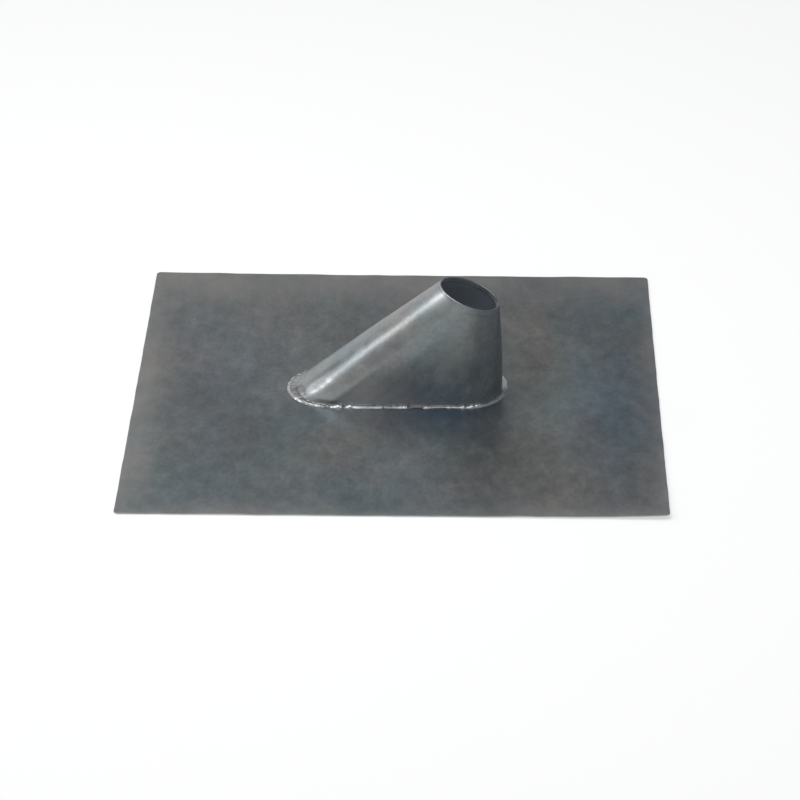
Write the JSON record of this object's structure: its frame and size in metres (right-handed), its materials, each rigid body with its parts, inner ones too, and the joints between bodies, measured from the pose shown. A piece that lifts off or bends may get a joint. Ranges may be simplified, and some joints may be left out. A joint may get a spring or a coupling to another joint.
{
  "type": "flashing tile",
  "caption": "Square zinc roof flashing tile with an oblique hood-shaped spout soldered over a long opening, to pass a mast through a pitched roof.",
  "frame": {"origin": "middle of the underside of the base sheet", "axes": "+Z out of the roof, +X up the roof, the way the spout's mouth leans"},
  "size_m": [0.45, 0.45, 0.1011],
  "materials": {
    "zinc_sheet": "satin",
    "tin_solder": "satin"
  },
  "bodies": {
    "root": {"base_sheet": "zinc_sheet", "spout": "zinc_sheet", "foot_solder": "tin_solder", "seam_solder": "tin_solder"}
  },
  "joints": []
}
